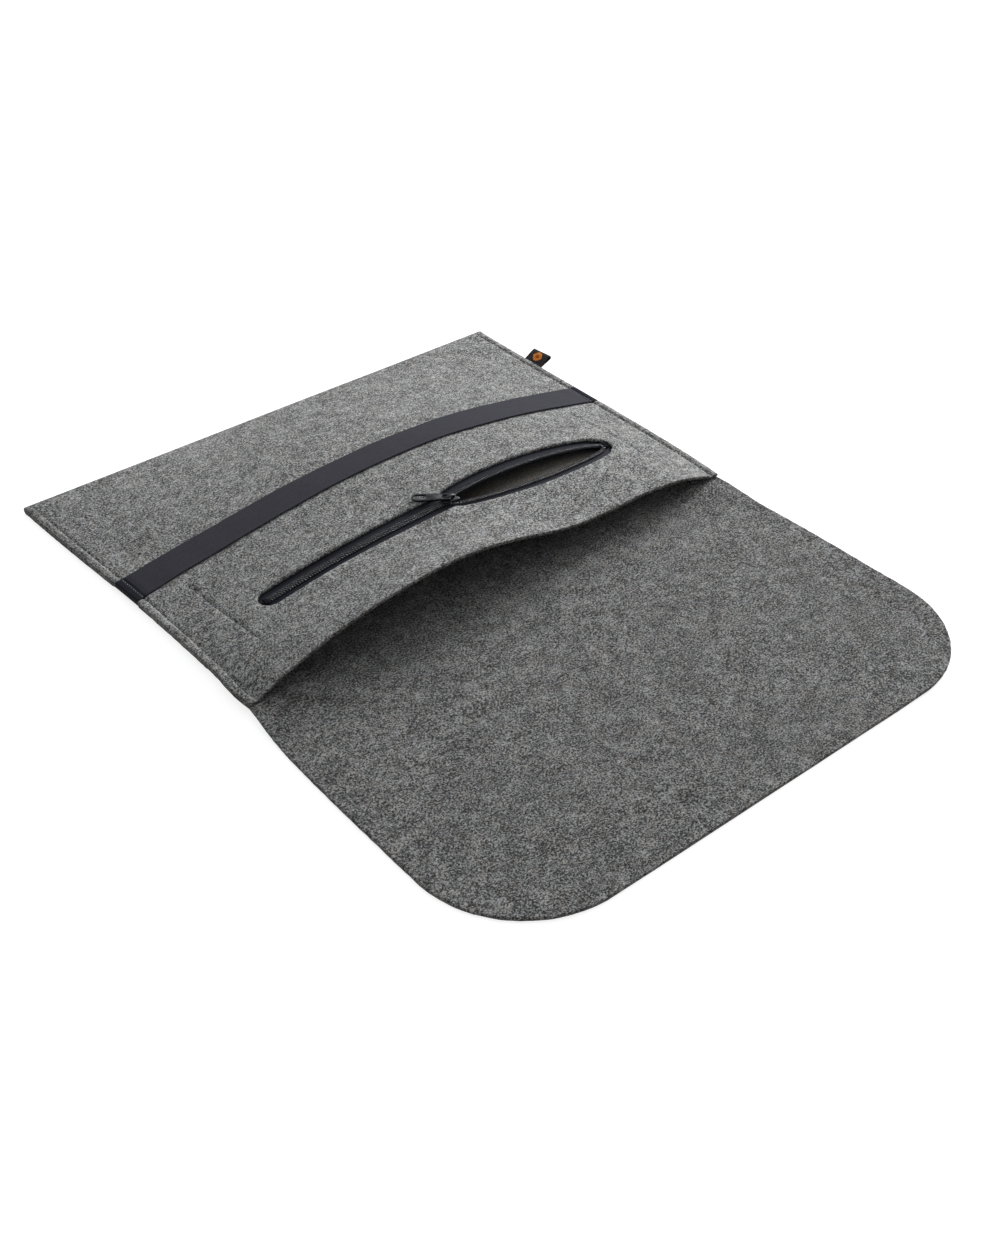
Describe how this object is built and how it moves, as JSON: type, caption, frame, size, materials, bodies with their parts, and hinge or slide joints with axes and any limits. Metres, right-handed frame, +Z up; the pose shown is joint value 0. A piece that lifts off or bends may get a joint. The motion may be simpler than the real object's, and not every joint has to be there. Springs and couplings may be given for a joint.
{
  "type": "laptop sleeve",
  "caption": "Open felt laptop sleeve: arched pouch with a fold-over flap, a half-open zipped front pocket, an elastic band and a side label.",
  "frame": {"origin": "centre of the back panel's underside, which lies on the table", "axes": "+Z up through the pouch from the back panel to the front panel; +Y towards the closed end; the flap lies open towards -Y; +X towards the side with the label"},
  "size_m": [0.4138, 0.506, 0.0425],
  "materials": {
    "felt": "grey melange needle felt, matte and slightly fibrous",
    "lining": "thin dark grey felt lining",
    "elastic": "charcoal woven elastic webbing, soft sheen",
    "zip_tape": "black woven polyester tape",
    "zip_coil": "black nylon coil",
    "zip_metal": "dark gunmetal, semi-gloss with worn edges",
    "label": null,
    "thread": "dark grey sewing thread"
  },
  "bodies": {
    "sleeve": {"back_panel": "felt", "bottom_fold": "felt", "front_panel": "felt", "pocket_backing": "lining", "band_anchor_left": "elastic", "band_anchor_right": "elastic", "zip_tape_upper": "zip_tape", "zip_tape_lower": "zip_tape", "zip_coil_upper": "zip_coil", "zip_coil_lower": "zip_coil", "zip_stop_bottom": "zip_metal", "zip_stop_top_upper": "zip_metal", "zip_stop_top_lower": "zip_metal", "side_label": "label", "seam_thread_left": "thread", "seam_thread_right": "thread", "pocket_thread_left": "thread", "pocket_thread_right": "thread"},
    "spine": {"flap_spine": "felt"},
    "flap": {"flap": "felt"},
    "slider": {"zip_slider": "zip_metal"},
    "pull": {"zip_pull": "zip_metal"},
    "band": {"elastic_band": "elastic"}
  },
  "joints": [
    {"name": "flap_fold", "type": "hinge", "parent": "sleeve", "child": "spine", "pos_m": [0, -0.1395, 0.0025], "axis": [-1, 0, 0], "range_deg": [0, 90]},
    {"name": "flap_bend", "type": "hinge", "parent": "spine", "child": "flap", "pos_m": [0, -0.1845, 0.0025], "axis": [-1, 0, 0], "range_deg": [0, 90]},
    {"name": "zip_travel", "type": "hinge", "parent": "sleeve", "child": "slider", "pos_m": [0.0075, -0.07, -0.7564], "axis": [0, 1, 0], "range_deg": [-9.9, 9.4], "deforming": ["zip_tape_upper", "zip_tape_lower", "zip_coil_upper", "zip_coil_lower"]},
    {"name": "pull_swing", "type": "hinge", "parent": "slider", "child": "pull", "pos_m": [0.006, -0.07, 0.03467], "axis": [0.5736, 0.8192, 0], "range_deg": [0, 170]},
    {"name": "band_lift", "type": "slide", "parent": "sleeve", "child": "band", "axis": [0, 0, 1], "range_m": [0, 0.014], "stiffness_N_per_m": 150, "deforming": ["elastic_band"]}
  ],
  "couplings": [
    {"joint": "flap_bend", "follows": "flap_fold", "ratio": 1}
  ]
}
